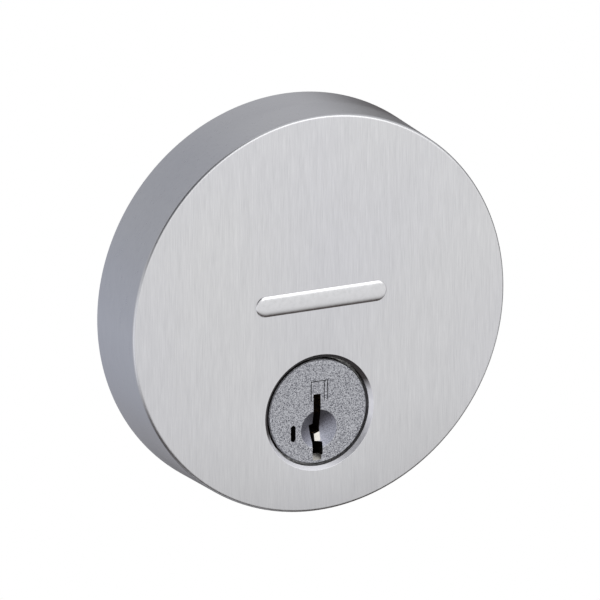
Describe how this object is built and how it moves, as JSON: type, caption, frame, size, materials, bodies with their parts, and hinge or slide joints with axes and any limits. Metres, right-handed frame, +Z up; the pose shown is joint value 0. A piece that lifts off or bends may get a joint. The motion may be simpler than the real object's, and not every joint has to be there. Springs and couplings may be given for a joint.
{
  "type": "deadbolt lock, outside keyed half",
  "caption": "Low-profile round keyed deadbolt half: satin rose, off-centre rekeyable cylinder, geared torque blade and threaded posts.",
  "frame": {"origin": "centre of the rose's rim, in the plane of the door's outside face", "axes": "+Z up, -Y out of the door towards the person with the key, +Y into the door"},
  "size_m": [0.0646, 0.0607, 0.0646],
  "materials": {
    "satin_nickel": "satin nickel plate, fine upright brushing",
    "polished_trim": "polished nickel",
    "plug_metal": "cast, fine-grained satin nickel",
    "guide_metal": "fine-grained satin nickel",
    "zinc_casting": "as-cast zinc",
    "screw_steel": "zinc-plated steel",
    "brass": "machined brass",
    "spring_steel": "spring steel",
    "hardened_steel": "hardened steel",
    "blade_steel": "rolled steel"
  },
  "bodies": {
    "housing": {"rose_cover": "satin_nickel", "name_plate": "polished_trim", "chassis": "zinc_casting", "chassis_screws": "screw_steel", "threaded_posts": "screw_steel", "cylinder_body": "zinc_casting", "cylinder_clip": "spring_steel", "gear_plate": "zinc_casting", "gear_cover": "zinc_casting", "gear_case_screws": "screw_steel"},
    "plug": {"plug_body": "plug_metal", "keyway_guide": "guide_metal", "pin_cap": "screw_steel", "pin_spring_1": "spring_steel", "pin_spring_2": "spring_steel", "pin_spring_3": "spring_steel", "pin_spring_4": "spring_steel", "pin_spring_5": "spring_steel", "carrier_spring": "spring_steel", "locking_bar_springs": "spring_steel", "anti_drill_pins": "hardened_steel", "drive_gear": "brass", "drive_gear_clip": "spring_steel"},
    "output": {"output_gear": "brass", "output_gear_clip": "spring_steel", "torque_blade": "blade_steel"},
    "key_pin_1": {"key_pin_1": "brass"},
    "key_pin_2": {"key_pin_2": "brass"},
    "key_pin_3": {"key_pin_3": "brass"},
    "key_pin_4": {"key_pin_4": "brass"},
    "key_pin_5": {"key_pin_5": "brass"},
    "rack_carrier": {"rack_carrier": "zinc_casting"},
    "rack_1": {"rack_1": "brass"},
    "rack_2": {"rack_2": "brass"},
    "rack_3": {"rack_3": "brass"},
    "rack_4": {"rack_4": "brass"},
    "rack_5": {"rack_5": "brass"},
    "locking_bar": {"locking_bar": "zinc_casting"}
  },
  "joints": [
    {"name": "plug_turn", "type": "hinge", "parent": "housing", "child": "plug", "pos_m": [0, 0, -0.016], "axis": [0, 1, 0], "range_deg": [-90, 90]},
    {"name": "output_turn", "type": "hinge", "parent": "housing", "child": "output", "pos_m": [0, 0, 0], "axis": [0, 1, 0], "range_deg": [-90, 90]},
    {"name": "pin_lift_1", "type": "slide", "parent": "plug", "child": "key_pin_1", "axis": [0, 0, 1], "range_m": [0, 0.0036], "stiffness_N_per_m": 80, "springref_m": -0.002, "deforming": ["pin_spring_1"]},
    {"name": "pin_lift_2", "type": "slide", "parent": "plug", "child": "key_pin_2", "axis": [0, 0, 1], "range_m": [0, 0.0036], "stiffness_N_per_m": 80, "springref_m": -0.002, "deforming": ["pin_spring_2"]},
    {"name": "pin_lift_3", "type": "slide", "parent": "plug", "child": "key_pin_3", "axis": [0, 0, 1], "range_m": [0, 0.0036], "stiffness_N_per_m": 80, "springref_m": -0.002, "deforming": ["pin_spring_3"]},
    {"name": "pin_lift_4", "type": "slide", "parent": "plug", "child": "key_pin_4", "axis": [0, 0, 1], "range_m": [0, 0.0036], "stiffness_N_per_m": 80, "springref_m": -0.002, "deforming": ["pin_spring_4"]},
    {"name": "pin_lift_5", "type": "slide", "parent": "plug", "child": "key_pin_5", "axis": [0, 0, 1], "range_m": [0, 0.0036], "stiffness_N_per_m": 80, "springref_m": -0.002, "deforming": ["pin_spring_5"]},
    {"name": "carrier_slide", "type": "slide", "parent": "plug", "child": "rack_carrier", "axis": [0, 1, 0], "range_m": [0, 0.0014], "stiffness_N_per_m": 200, "springref_m": -0.002, "deforming": ["carrier_spring"]},
    {"name": "rack_lift_1", "type": "slide", "parent": "rack_carrier", "child": "rack_1", "axis": [0, 0, 1], "range_m": [0, 0.0036]},
    {"name": "rack_lift_2", "type": "slide", "parent": "rack_carrier", "child": "rack_2", "axis": [0, 0, 1], "range_m": [0, 0.0036]},
    {"name": "rack_lift_3", "type": "slide", "parent": "rack_carrier", "child": "rack_3", "axis": [0, 0, 1], "range_m": [0, 0.0036]},
    {"name": "rack_lift_4", "type": "slide", "parent": "rack_carrier", "child": "rack_4", "axis": [0, 0, 1], "range_m": [0, 0.0036]},
    {"name": "rack_lift_5", "type": "slide", "parent": "rack_carrier", "child": "rack_5", "axis": [0, 0, 1], "range_m": [0, 0.0036]},
    {"name": "bar_slide", "type": "slide", "parent": "plug", "child": "locking_bar", "axis": [-1, 0, 0], "range_m": [-0.0005, 0], "stiffness_N_per_m": 150, "springref_m": 0.0015, "deforming": ["locking_bar_springs"]}
  ],
  "couplings": [
    {"joint": "output_turn", "follows": "plug_turn", "ratio": -1},
    {"joint": "rack_lift_1", "follows": "pin_lift_1", "ratio": 1},
    {"joint": "rack_lift_2", "follows": "pin_lift_2", "ratio": 1},
    {"joint": "rack_lift_3", "follows": "pin_lift_3", "ratio": 1},
    {"joint": "rack_lift_4", "follows": "pin_lift_4", "ratio": 1},
    {"joint": "rack_lift_5", "follows": "pin_lift_5", "ratio": 1}
  ]
}
